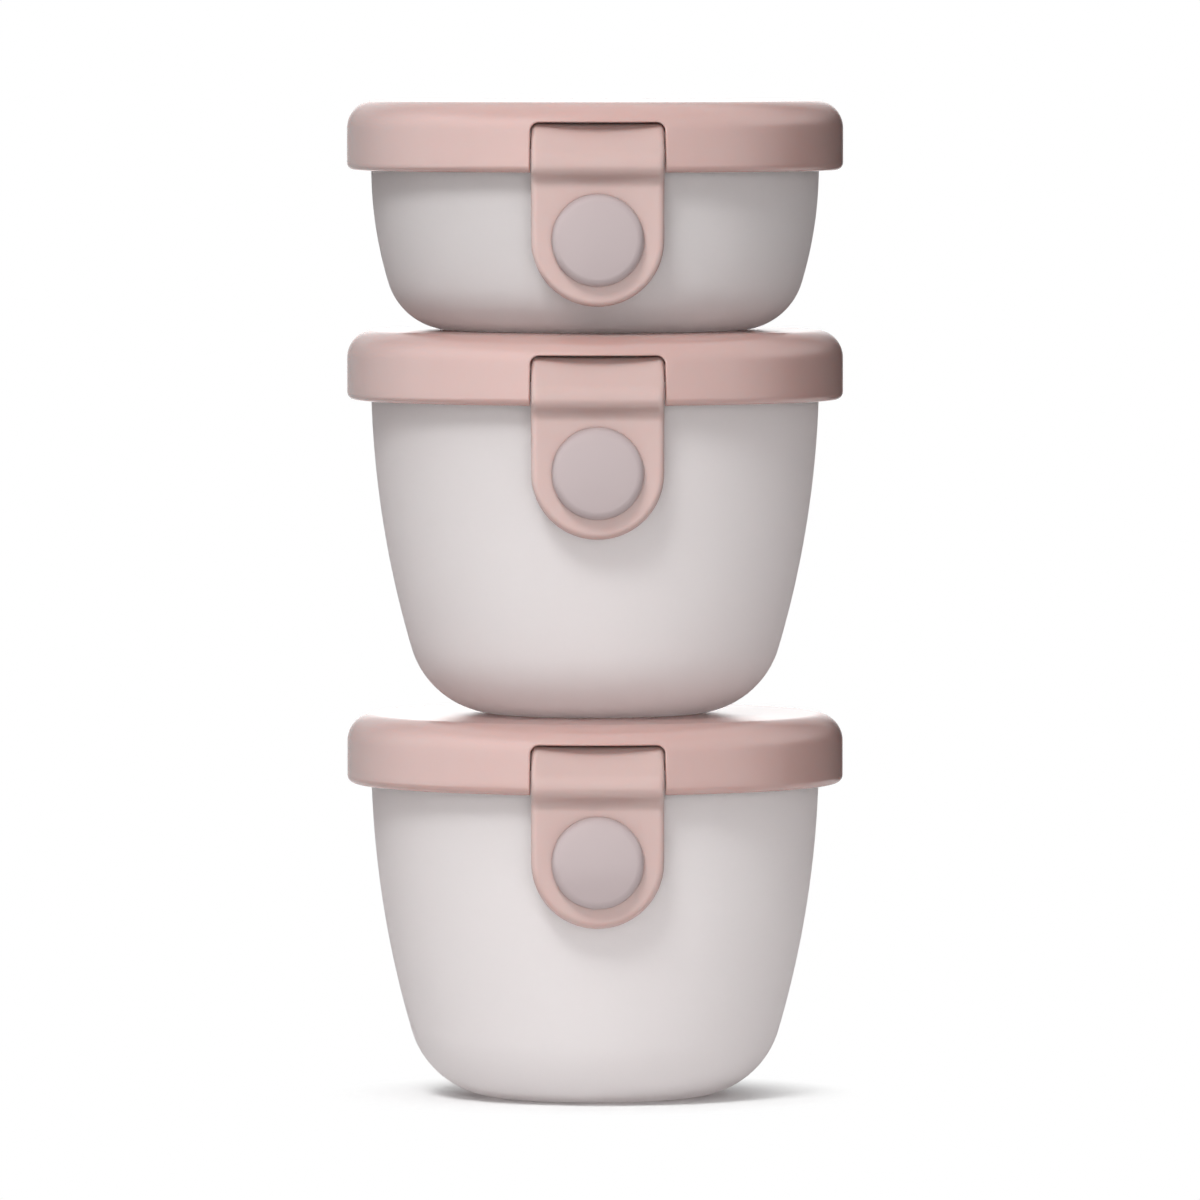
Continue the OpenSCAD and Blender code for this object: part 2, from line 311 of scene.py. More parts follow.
def surface(wire, finish):
    # colour, roughness and relief over a piece
    point = objectPoint(wire)
    cloud = noise(wire, point, finish["cloud"], cloudDetail)
    smudge = noise(wire, point, finish["smudge"], finish["smudgeDetail"])
    grain = noise(wire, point, finish["grain"], finish["grainDetail"])
    colour = mixColours(wire, cloud, finish["colour"], finish["deep"])
    rough = finish["rough"] + (smudge - noiseMiddle) * finish["roughSpread"]
    return colour, rough, bump(wire, grain, finish["relief"], finish["reliefDepth"])


def plastic(wire, finish, varied, more):
    colour, rough, relief = varied
    sockets = {"Base Color": colour, "Roughness": rough, "Normal": relief,
               "IOR": finish["ior"], "Specular IOR Level": finish["specular"]}
    return wire.node("ShaderNodeBsdfPrincipled", {}, {**sockets, **more})


def pinkPlastic(name, finish):
    material, wire = newTree(name)
    depth = {"Subsurface Weight": pinkDepth["weight"], "Subsurface Radius": pinkDepth["radius"],
             "Subsurface Scale": pinkDepth["scale"] * mm}
    output(wire, plastic(wire, finish, surface(wire, finish), depth))
    return material


def frostedShell(name, finish):
    material, wire = newTree(name)
    varied = surface(wire, finish)
    coat = {"Coat Weight": finish["coat"], "Coat Roughness": finish["coatRough"]}
    skin = plastic(wire, finish, varied, coat)
    glow = wire.node("ShaderNodeBsdfTranslucent", {}, {"Color": varied[0], "Normal": varied[2]})
    output(wire, wire.node("ShaderNodeMixShader", {}, {0: finish["through"], 1: skin, 2: glow}))
    return material


def softSilicone(name, finish):
    material, wire = newTree(name)
    output(wire, plastic(wire, finish, surface(wire, finish), {}))
    return material


finishes = {
    "cup": frostedShell("frostedCup", cupFinish),
    "stud": frostedShell("clearStud", studFinish),
    "lid": pinkPlastic("glossyPink", lidFinish),
    "seal": softSilicone("whiteSilicone", sealFinish),
    "latch": pinkPlastic("satinPink", latchFinish),
}
print("materials made:", len(finishes))


# cups

cup = dict(rimR=40.6, wall=1.8, rimRise=4.2, rimRound=0.6, hollow=0.5, hollowRound=0.3, footRing=3.0,
           footRound=0.2, heelStep=4.0, sideStep=0.7, longest=3.0, segments=256,
           bossR=9.0, bossFace=40.9, bossRound=0.5, bossBand=0.8, bossRings=4, bossSegments=96,
           socketR=4.03, socketFloor=1.0, socketPast=1.0, socketSegments=64, studDrop=12.0)
largeForm = dict(footR=17.5, heelR=16.5, sideR=180.0)
smallForm = dict(footR=26.0, heelR=12.0, sideR=72.0)
cupForm = {"lower": largeForm, "middle": largeForm, "upper": smallForm}


def sideCentre(form, height):
    # centre of the side arc, which leaves the heel arc smoothly and ends at the lid
    heel = Vector((form["footR"], form["heelR"]))
    mouth = Vector((cup["rimR"], height))
    reach = (mouth - heel).length
    along = (mouth - heel) / reach
    across = Vector((-along.y, along.x))
    inner = form["sideR"] - form["heelR"]
    step = (inner ** 2 - form["sideR"] ** 2 + reach ** 2) / (2 * reach)
    return heel + along * step + across * math.sqrt(inner ** 2 - step ** 2)


def outerRadius(form, height, z):
    # radius of the bowl's outside at a height, on the heel or the side arc
    heel = Vector((form["footR"], form["heelR"]))
    side = sideCentre(form, height)
    meet = heel + (heel - side).normalized() * form["heelR"]
    if z < meet.y:
        return heel.x + math.sqrt(form["heelR"] ** 2 - (z - heel.y) ** 2)
    return side.x + math.sqrt(form["sideR"] ** 2 - (z - side.y) ** 2)


def bowlWall(form, height, inset):
    # heel and side arcs of the bowl from foot to mouth, drawn in by a wall
    heel = Vector((form["footR"], form["heelR"]))
    side = sideCentre(form, height)
    meet = math.degrees(math.atan2(heel.y - side.y, heel.x - side.x))
    radius = form["sideR"] - inset
    lean = math.degrees(math.acos((cup["rimR"] - inset - side.x) / radius))
    end = lean if height > side.y else -lean
    heelArc = arcPoints(heel, form["heelR"] - inset, -90, meet, cup["heelStep"])
    return heelArc + arcPoints(side, radius, meet, end, cup["sideStep"])[1:]


def cupProfile(form, height):
    hollowR = form["footR"] - cup["footRing"]
    rimTop = height + cup["rimRise"]
    mouthR = cup["rimR"] - cup["wall"]
    foot = roundedPath([(0, cup["hollow"]), (hollowR, cup["hollow"], cup["hollowRound"]),
                        (hollowR, 0, cup["footRound"]), (form["footR"], 0)])
    foot = splitLong(foot, cup["longest"])
    inside = bowlWall(form, height, cup["wall"])
    outside = bowlWall(form, height, 0)
    rim = roundedPath([outside[-1], (cup["rimR"], rimTop, cup["rimRound"]),
                       (mouthR, rimTop, cup["rimRound"]), inside[-1]])
    floor = splitLong([inside[0], Vector((0, cup["wall"]))], cup["longest"])
    return foot[:-1] + outside + rim[1:-1] + inside[::-1] + floor[1:]


def makeBoss(unit, form, height):
    studZ = height - cup["studDrop"]
    place = facingFront(cupBase[unit] + studZ)

    def placeOnWall(r, h, a):  # a point without a depth lies in the middle of the wall
        if h is not None:
            return place(r, h, a)
        x = r * math.sin(a)
        wall = outerRadius(form, height, studZ + r * math.cos(a))
        return place(r, math.sqrt(wall ** 2 - x ** 2) - cup["wall"] / 2, a)

    face = roundedPath([(0, cup["bossFace"]), (cup["bossR"], cup["bossFace"], cup["bossRound"]),
                        (cup["bossR"], cup["bossFace"] - cup["bossBand"])])
    inWall = [(cup["bossR"] * k / cup["bossRings"], None) for k in range(cup["bossRings"], -1, -1)]
    bm = bmesh.new()
    lathe(bm, [tuple(p) for p in face] + inWall, placeOnWall, cup["bossSegments"])
    return toObject(unit + "Boss", bm)


def makeCup(unit):
    form = cupForm[unit]
    height = lidBase[unit] - cupBase[unit]
    bm = bmesh.new()
    lathe(bm, cupProfile(form, height), standing(cupBase[unit]), cup["segments"])
    obj = toObject(unit + "_cup_bowl", bm)
    combine(obj, makeBoss(unit, form, height), "UNION")
    studZ = height - cup["studDrop"]
    socketEnd = outerRadius(form, height, studZ) - cup["wall"] + cup["socketFloor"]
    mouth = cup["bossFace"] + cup["socketPast"]
    bm = bmesh.new()
    lathe(bm, [(0, socketEnd), (cup["socketR"], socketEnd), (cup["socketR"], mouth), (0, mouth)],
          facingFront(cupBase[unit] + studZ), cup["socketSegments"])
    combine(obj, toObject(unit + "Socket", bm), "DIFFERENCE")
    obj.data.set_sharp_from_angle(angle=sharpAngle)
    finishPiece(obj, unit, "cup", "cup")
    return socketEnd


socketEnd = {unit: makeCup(unit) for unit in units}
print("cups made")


# studs

stud = dict(headR=8.25, headFront=46.4, edgeR=1.7, bandBack=43.3, bandFront=44.2, bandRound=0.15,
            slope=0.2, neckR=6.0, neckRound=0.1, pegR=4.0, pegRound=0.3, pegGap=0.03,
            domeStep=1.5, segments=160)


def studProfile(pegEnd):
    edgeAt = stud["headR"] - stud["edgeR"]
    height = stud["headFront"] - stud["bandFront"]
    crown = height - stud["edgeR"]
    drop = (edgeAt ** 2 - crown ** 2) / (2 * crown)
    domeR = drop + height
    lean = math.degrees(math.atan2(drop, edgeAt))  # where the dome runs into the rounded edge
    dome = arcPoints((0, stud["bandFront"] - drop), domeR, 90, lean, stud["domeStep"])
    edge = arcPoints((edgeAt, stud["bandFront"]), stud["edgeR"], lean, 0)
    behind = roundedPath([edge[-1], (stud["headR"], stud["bandBack"], stud["bandRound"]),
                          (stud["neckR"], stud["bandBack"] - stud["slope"], stud["neckRound"]),
                          (stud["neckR"], cup["bossFace"]), (stud["pegR"], cup["bossFace"]),
                          (stud["pegR"], pegEnd, stud["pegRound"]), (0, pegEnd)], hold=shortHold)
    return dome + edge[1:] + behind[1:]


for unit in units:
    bm = bmesh.new()
    place = facingFront(lidBase[unit] - cup["studDrop"])
    profile = studProfile(socketEnd[unit] + stud["pegGap"])
    profile[0].x = 0  # the dome starts on the axis
    lathe(bm, profile, place, stud["segments"])
    finishPiece(toObject(unit + "_stud_button", bm), unit, "stud", "cup")
print("studs made")


# lids: a turned shell whose front band is rebuilt around the pocket

lid = dict(outerR=45.0, wall=2.0, edgeR=5.0, topHold=0.3, lipR=1.4, innerLipR=0.35,
           plugR=37.2, plugWall=2.0, plugDrop=1.0, plugRound=0.6, plugTopRound=0.4, plugInnerRound=0.5,
           grooveZ=0.6, grooveH=2.4, grooveDepth=1.0, grooveRound=0.12,
           pocketHalf=12.05, pocketTop=9.0, pocketCorner=1.6, pocketEdge=0.45, skinStrips=(0.2, 0.8),
           cheek=3.0, cheekZ=4.6, cheekBack=33.6, cheekFront=41.8, cheekShoulder=8.6,
           cheekTopFront=40.2, cheekTop=10.9, cheekRound=0.3,
           hingeU=41.0, hingeZ=6.6, boreR=1.05, boreX=13.9, boreSegments=48)
# the lid's mesh: columns of the front band, the first one beside the pocket, and steps along its lines
lathed = dict(segments=256, band=16, beside=14, flatStep=4.0, skirtStep=1.2, edgeStep=4.5, innerEdgeStep=9.0,
              lipStep=15.0, innerLipStep=30.0, bandTop=8, innerBandTop=4,
              pocketSideStep=0.9, pocketTopStep=1.0, pocketCornerStep=10.0, clearOuter=0.45, clearInner=0.5)


def lidProfile():
    height = lidHeight
    outerR = lid["outerR"]
    skirtR = outerR - lid["wall"]
    plateZ = height - lid["wall"]
    edgeAt = outerR - lid["edgeR"]
    edgeZ = height - lid["edgeR"]
    top = splitLong([Vector((0, height)), Vector((edgeAt - lid["topHold"], height))], lathed["flatStep"])
    edge = arcPoints((edgeAt, edgeZ), lid["edgeR"], 90, 0, lathed["edgeStep"])
    skirt = splitLong([edge[-1], Vector((outerR, lid["lipR"]))], lathed["skirtStep"])
    lipR = lid["lipR"]
    lip = arcPoints((outerR - lipR, lipR), lipR, 0, -90, lathed["lipStep"])
    innerR = lid["innerLipR"]
    innerLip = arcPoints((skirtR + innerR, innerR), innerR, -90, -180, lathed["innerLipStep"])
    inside = splitLong([innerLip[-1], Vector((skirtR, edgeZ))], lathed["skirtStep"])
    innerEdge = arcPoints((edgeAt, edgeZ), lid["edgeR"] - lid["wall"], 0, 90, lathed["innerEdgeStep"])
    plugR = lid["plugR"]
    plugInner = plugR - lid["plugWall"]
    grooveR = plugR - lid["grooveDepth"]
    grooveTop = lid["grooveZ"] + lid["grooveH"]
    under = roundedPath([innerEdge[-1], (plugR, plateZ, lid["plugTopRound"]),
                         (plugR, grooveTop, lid["grooveRound"]), (grooveR, grooveTop),
                         (grooveR, lid["grooveZ"]), (plugR, lid["grooveZ"], lid["grooveRound"]),
                         (plugR, -lid["plugDrop"], lid["plugRound"]),
                         (plugInner, -lid["plugDrop"], lid["plugRound"]),
                         (plugInner, plateZ, lid["plugInnerRound"]), (0, plateZ)], hold=shortHold)
    marks = {}
    profile = top + edge
    marks["outerTop"] = len(top) + lathed["bandTop"]  # a step of the edge arc above the pocket
    profile += skirt[1:]
    marks["outerFoot"] = len(profile) - 1
    profile += lip[1:] + innerLip
    marks["innerFoot"] = len(profile) - 1
    profile += inside[1:] + innerEdge[1:]
    marks["innerTop"] = len(profile) - lathed["innerBandTop"]  # the same on the inner arc
    profile += splitLong(under[1:], lathed["flatStep"])
    return profile, marks


def skinRadius(z, radius):
    # outer or inner radius of the skirt and its rounded top edge
    edgeZ = lidHeight - lid["edgeR"]
    if z <= edgeZ:
        return radius
    edge = lid["edgeR"] - (lid["outerR"] - radius)
    return lid["outerR"] - lid["edgeR"] + math.sqrt(edge ** 2 - (z - edgeZ) ** 2)


def skinPoint(x, z, radius, drop=0.0):
    r = skinRadius(z, radius)
    return Vector((x, -(math.sqrt(r ** 2 - x ** 2) - drop), z)) * mm


def pocketDistance(x, z):
    side = abs(x) - (lid["pocketHalf"] - lid["pocketCorner"])
    above = z - (lid["pocketTop"] - lid["pocketCorner"])
    outside = math.hypot(max(side, 0), max(above, 0))
    return outside + min(max(side, above), 0) - lid["pocketCorner"]


def pocketLine(grow, footZ):
    # the pocket's outline from its right foot over the top to its left foot, grown outwards
    half = lid["pocketHalf"]
    corner = lid["pocketCorner"]
    flat = half - corner
    sideTop = lid["pocketTop"] - corner
    side = [Vector((half + grow, footZ)), Vector((half + grow, sideTop))]
    right = splitLong(side, lathed["pocketSideStep"])
    bend = arcPoints((flat, sideTop), corner + grow, 0, 90, lathed["pocketCornerStep"])
    across = splitLong([bend[-1], Vector((0, lid["pocketTop"] + grow))], lathed["pocketTopStep"])
    line = right + bend[1:] + across[1:]
    return line + [Vector((-p.x, p.y)) for p in line[-2::-1]]


def makeLidShell():
    bm = bmesh.new()
    profile, marks = lidProfile()
    segments = lathed["segments"]
    band = lathed["band"]
    beside = lathed["beside"]
    cache = {}

    def ringVert(i, j):
        r, z = profile[i]
        key = (i, j % segments if r > tiny else 0)
        if key not in cache:
            cache[key] = bm.verts.new(standing(0)(r, z, 2 * math.pi * key[1] / segments))
        return cache[key]

    def flatPlace(i, j):
        r, z = profile[i]
        return r * math.sin(2 * math.pi * j / segments), z

    def flatVert(i, j):
        return (ringVert(i, j), *flatPlace(i, j))

    for i in range(len(profile) - 1):
        for j in range(-segments // 2, segments // 2):
            inBand = -band <= j < band
            if inBand and marks["outerTop"] <= i < marks["innerTop"]:
                continue
            corners = [ringVert(i, j), ringVert(i, j + 1), ringVert(i + 1, j + 1), ringVert(i + 1, j)]
            bm.faces.new(list(dict.fromkeys(corners)))

    # rounded edge of the pocket: rows from the wall out onto the skin
    edge = lid["pocketEdge"]
    strips = lid["skinStrips"]
    grows = [edge * (1 - math.cos(b)) for b in quarterTurn] + [edge + width for width in strips]
    drops = [edge * (1 - math.sin(b)) for b in quarterTurn] + [0.0] * len(strips)
    skirtR = lid["outerR"] - lid["wall"]
    rows = []
    for grow, drop in zip(grows, drops):
        line = pocketLine(grow, lid["lipR"])
        rows.append([(bm.verts.new(skinPoint(p.x, p.y, lid["outerR"], drop)), p.x, p.y) for p in line])
    for rowA, rowB in zip(rows, rows[1:]):
        bridge(bm, [v for v, _, _ in rowA], [v for v, _, _ in rowB])

    # outer skin between the rows and the turned part
    foot, top = marks["outerFoot"], marks["outerTop"]
    loop = rows[-1] + [flatVert(foot, -j) for j in range(beside, band + 1)]
    loop += [flatVert(i, -band) for i in range(foot - 1, top, -1)]
    loop += [flatVert(top, j) for j in range(-band, band + 1)]
    loop += [flatVert(i, band) for i in range(top + 1, foot)]
    loop += [flatVert(foot, j) for j in range(band, beside - 1, -1)]
    reach = grows[-1]
    inner = [flatVert(i, j) for i in range(top + 1, foot) for j in range(-band + 1, band)
             if pocketDistance(*flatPlace(i, j)) > reach + lathed["clearOuter"]]
    fillFlat(bm, [loop], inner, lambda x, z: pocketDistance(x, z) > reach)

    # lip on both sides of the pocket
    footRows = {}
    for side, end in ((1, 0), (-1, -1)):
        columns = []
        for i in range(foot, marks["innerFoot"] + 1):
            share = (i - foot) / (marks["innerFoot"] - foot)
            r, z = profile[i]
            column = []
            for k, (grow, drop) in enumerate(zip(grows, drops)):
                x = lid["pocketHalf"] + grow
                depth = math.sqrt(r ** 2 - x ** 2) - drop * (1 - share)
                spot = Vector((side * x, -depth, z)) * mm
                column.append(rows[k][end][0] if i == foot else bm.verts.new(spot))
            column += [ringVert(i, side * j) for j in range(beside, band + 1)]
            columns.append(column)
        for columnA, columnB in zip(columns, columns[1:]):
            bridge(bm, columnA, columnB)
        bm.faces.new([column[0] for column in columns])
        footRows[side] = columns[-1]

    # inner skin and the pocket's walls
    innerFoot, innerTop = marks["innerFoot"], marks["innerTop"]
    footZ = profile[innerFoot][1]
    line = pocketLine(0, lid["lipR"])
    wall = [(bm.verts.new(skinPoint(p.x, p.y, skirtR)), p.x, p.y) for p in line[1:-1]]
    wall = [(footRows[1][0], line[0].x, footZ)] + wall + [(footRows[-1][0], line[-1].x, footZ)]
    bridge(bm, [v for v, _, _ in rows[0]], [v for v, _, _ in wall])

    def footLoop(side):
        half = lid["pocketHalf"]
        flat = [(v, side * (half + grow), footZ) for v, grow in zip(footRows[side][1:], grows[1:])]
        return flat + [flatVert(innerFoot, side * j) for j in range(beside, band + 1)]

    loop = wall + footLoop(-1)
    loop += [flatVert(i, -band) for i in range(innerFoot + 1, innerTop)]
    loop += [flatVert(innerTop, j) for j in range(-band, band + 1)]
    loop += [flatVert(i, band) for i in range(innerTop - 1, innerFoot, -1)]
    loop += footLoop(1)[::-1]
    inner = [flatVert(i, j) for i in range(innerFoot + 1, innerTop) for j in range(-band + 1, band)
             if pocketDistance(*flatPlace(i, j)) > lathed["clearInner"]]
    fillFlat(bm, [loop], inner, lambda x, z: pocketDistance(x, z) > 0)
    return toObject("lidShell", bm)


def makeCheek(side):
    # hinge cheek from the plug ring to the skirt, seen from the side
    back = lid["cheekBack"]
    front = lid["cheekFront"]
    low = lid["cheekZ"]
    high = lid["cheekTop"]
    outline = roundedPath([(back, low, lid["cheekRound"]), (front, low, lid["cheekRound"]),
                           (front, lid["cheekShoulder"]), (lid["cheekTopFront"], high), (back, high)],
                          closed=True, hold=shortHold)
    bm = bmesh.new()
    near = side * lid["pocketHalf"]
    far = side * (lid["pocketHalf"] + lid["cheek"])
    loops = [[bm.verts.new(Vector((x, -p.x, p.y)) * mm) for p in outline] for x in (near, far)]
    bridge(bm, loops[0], loops[1], wrap=True)
    bm.faces.new(loops[0])
    bm.faces.new(loops[1])
    return toObject("lidCheek", bm)


def makeLid():
    obj = makeLidShell()
    combine(obj, makeCheek(1), "UNION")
    combine(obj, makeCheek(-1), "UNION")
    r = lid["boreR"]
    end = lid["boreX"]
    bm = bmesh.new()
    lathe(bm, [(0, -end), (r, -end), (r, end), (0, end)], alongX(lid["hingeU"], lid["hingeZ"]),
          lid["boreSegments"])
    combine(obj, toObject("lidBore", bm), "DIFFERENCE")
    obj.data.set_sharp_from_angle(angle=sharpAngle)
    return obj


setOnEachUnit(makeLid(), "_lid_cap", "lid")
print("lids made")


# ribs under the lids, set out by geometry nodes from the first one beside the hinge cheek

ribs = dict(count=18, thick=1.2, lowZ=4.2, highZ=10.8, innerR=36.9, outerR=43.3, clear=6.0,
            edge=0.25, edgeSteps=3)


def makeRibTree():
    tree = bpy.data.node_groups.new("lidRibs", "GeometryNodeTree")
    tree.interface.new_socket("Geometry", in_out="OUTPUT", socket_type="NodeSocketGeometry")
    kinds = {"Count": "Int", "Material": "Material"}
    names = ["Count", "Thickness", "Height", "Length", "Edge", "Inner Radius", "Middle Height",
             "First Angle", "Pitch", "Material"]
    keys = {}
    for name in names:
        kind = "NodeSocket" + kinds.get(name, "Float")
        keys[name] = tree.interface.new_socket(name, in_out="INPUT", socket_type=kind).identifier
    wire = Wire(tree)
    given = tree.nodes.new("NodeGroupInput")
    size = {name: Wire(tree, given.outputs[name]) for name in names}
    outline = wire.node("GeometryNodeCurvePrimitiveQuadrilateral", {},
                        {"Width": size["Thickness"], "Height": size["Height"]})
    outline = wire.node("GeometryNodeFilletCurve", {"mode": "POLY"},
                        {"Curve": outline, "Radius": size["Edge"], "Count": ribs["edgeSteps"]})
    end = wire.node("GeometryNodeFillCurve", {"mode": "NGONS"}, {"Curve": outline})
    bar = wire.node("GeometryNodeExtrudeMesh", {}, {"Mesh": end, "Offset Scale": size["Length"]})
    foot = wire.node("GeometryNodeFlipFaces", {}, {"Mesh": end})
    both = wire.tree.nodes.new("GeometryNodeJoinGeometry")
    for half in (bar, foot):
        tree.links.new(half.socket, both.inputs[0])
    bar = wire.node("GeometryNodeMergeByDistance", {},
                    {"Geometry": Wire(tree, both.outputs[0]), "Distance": tiny})
    place = wire.node("ShaderNodeCombineXYZ", {}, {0: size["Inner Radius"], 2: size["Middle Height"]})
    bar = wire.node("GeometryNodeTransform", {}, {
        "Geometry": bar, "Translation": place, "Rotation": (math.pi / 2, 0, math.pi / 2)})
    angle = wire.node("GeometryNodeInputIndex") * size["Pitch"] + size["First Angle"]
    turn = wire.node("ShaderNodeCombineXYZ", {}, {2: angle})
    spots = wire.node("GeometryNodePoints", {}, {"Count": size["Count"]})
    row = wire.node("GeometryNodeInstanceOnPoints", {},
                    {"Points": spots, "Instance": bar, "Rotation": turn})
    row = wire.node("GeometryNodeRealizeInstances", {}, {0: row})
    row = wire.node("GeometryNodeSetMaterial", {}, {"Geometry": row, "Material": size["Material"]})
    target = tree.nodes.new("NodeGroupOutput")
    tree.links.new(row.socket, target.inputs[0])
    return tree, keys


def makeRibs(unit, tree, keys):
    obj = toObject(unit + "_lid_ribs", bmesh.new())
    inside = lid["outerR"] - lid["wall"]
    first = math.asin((lid["pocketHalf"] + lid["cheek"]) / inside) + math.radians(ribs["clear"])
    height = ribs["highZ"] - ribs["lowZ"]
    values = {
        "Count": ribs["count"], "Thickness": ribs["thick"] * mm, "Height": height * mm,
        "Edge": ribs["edge"] * mm,
        "Length": (ribs["outerR"] - ribs["innerR"]) * mm, "Inner Radius": ribs["innerR"] * mm,
        "Middle Height": (lidBase[unit] + ribs["lowZ"] + height / 2) * mm,
        "First Angle": first - math.pi / 2, "Pitch": 2 * (math.pi - first) / (ribs["count"] - 1),
        "Material": finishes["lid"]}
    step = obj.modifiers.new("ribs", "NODES")
    step.node_group = tree
    for name, value in values.items():
        step[keys[name]] = value
    bakeModifiers(obj)
    obj.data.set_sharp_from_angle(angle=sharpAngle)
    finishPiece(obj, unit, "lid", "lid")


ribTree, ribKeys = makeRibTree()
for unit in units:
    makeRibs(unit, ribTree, ribKeys)
print("ribs made")


# seals

seal = dict(innerR=36.32, lowZ=0.72, highZ=2.88, backRound=0.2, lipAt=38.18, lipInset=0.4, lipR=0.5,
            lips=(1.2, 2.4), outerTurn=100, innerTurn=110, lipStep=12, segments=192)


def sealProfile():
    low, high = seal["lips"]
    lipAt = seal["lipAt"]
    start = lipAt - seal["lipInset"]
    path = roundedPath([(start, seal["lowZ"]), (seal["innerR"], seal["lowZ"], seal["backRound"]),
                        (seal["innerR"], seal["highZ"], seal["backRound"]), (start, seal["highZ"])],
                       hold=shortHold)
    outer, inner, step = seal["outerTurn"], seal["innerTurn"], seal["lipStep"]
    path += arcPoints((lipAt, high), seal["lipR"], outer, -inner, step)
    path += arcPoints((lipAt, low), seal["lipR"], inner, -outer, step)
    return path


for unit in units:
    bm = bmesh.new()
    lathe(bm, sealProfile(), standing(lidBase[unit]), seal["segments"], closed=True)
    finishPiece(toObject(unit + "_seal_ring", bm), unit, "seal", "lid")
print("seals made")


# latches: a path around the side view, swept across the width, with a round lower end and an eye

latch = dict(halfW=11.9, barrelR=2.2, hingeU=lid["hingeU"], hingeZ=lid["hingeZ"],
             browLean=30.0, browFront=45.6, browBlend=3.9, stepR=2.6, stepZ=-0.62, stepFlat=0.05,
             tongueFront=43.2, tongueBack=41.2, heelR=0.2, endZ=-12.0,
             frontEdge=1.1, backEdge=0.3, sideStrip=0.2,
             eyeFront=7.8, eyeFlare=0.225, eyeRound=0.15, eyeSpace=1.6,
             eyeLip=7.4, lipRise=0.7, lipRound=0.25, shoulderRise=1.1, shoulderRound=0.2,
             trunnionR=1.0, trunnionX=13.45, trunnionStart=11.0, trunnionRound=0.25)
# the latch's mesh: steps along its lines, columns across it, and rows over which the edge's rounding changes
flap = dict(pathStep=0.9, bendStep=6.0, barrelStep=9.0, heelStep=15.0, columns=16, edgeHold=2, edgeChange=8,
            endColumns=40, eyeStep=18.0, lipStep=30.0, eyeSegments=96, trunnionSegments=48)


def latchPath():
    hinge = Vector((latch["hingeU"], latch["hingeZ"]))
    lean = math.radians(latch["browLean"])
    leanStart = hinge + latch["barrelR"] * Vector((math.cos(lean), math.sin(lean)))
    browZ = leanStart.y - (latch["browFront"] - leanStart.x) / math.tan(lean)
    rise = latch["browFront"] - latch["tongueFront"]
    turn = math.acos(1 - rise / (2 * latch["stepR"]))
    halfStep = latch["stepR"] * math.tan(turn / 2) * math.cos(turn)
    stepFoot = latch["stepZ"] - latch["stepR"] * math.sin(turn) - latch["stepFlat"]
    front = roundedPath([(latch["tongueFront"], latch["endZ"]), (latch["tongueFront"], stepFoot, 0),
                         (latch["tongueFront"], latch["stepZ"] - halfStep, latch["stepR"]),
                         (latch["browFront"], latch["stepZ"] + halfStep, latch["stepR"]),
                         (latch["browFront"], browZ, latch["browBlend"]), tuple(leanStart)],
                        step=flap["bendStep"], hold=0.0)
    barrel = arcPoints(hinge, latch["barrelR"], latch["browLean"], 270, flap["barrelStep"])
    heelZ = latch["hingeZ"] - latch["barrelR"] - latch["heelR"]
    heel = arcPoints((latch["hingeU"], heelZ), latch["heelR"], 90, 0, flap["heelStep"])
    eyeTop = latch["endZ"] + latch["eyeFront"] + latch["eyeSpace"]
    back = [Vector((latch["tongueBack"], eyeTop)), Vector((latch["tongueBack"], latch["endZ"]))]
    path = []
    for p in front + barrel + heel + back:
        if not path or (p - path[-1]).length > nearby:
            path.append(p)
    return splitLong(path, flap["pathStep"]), stepFoot, eyeTop


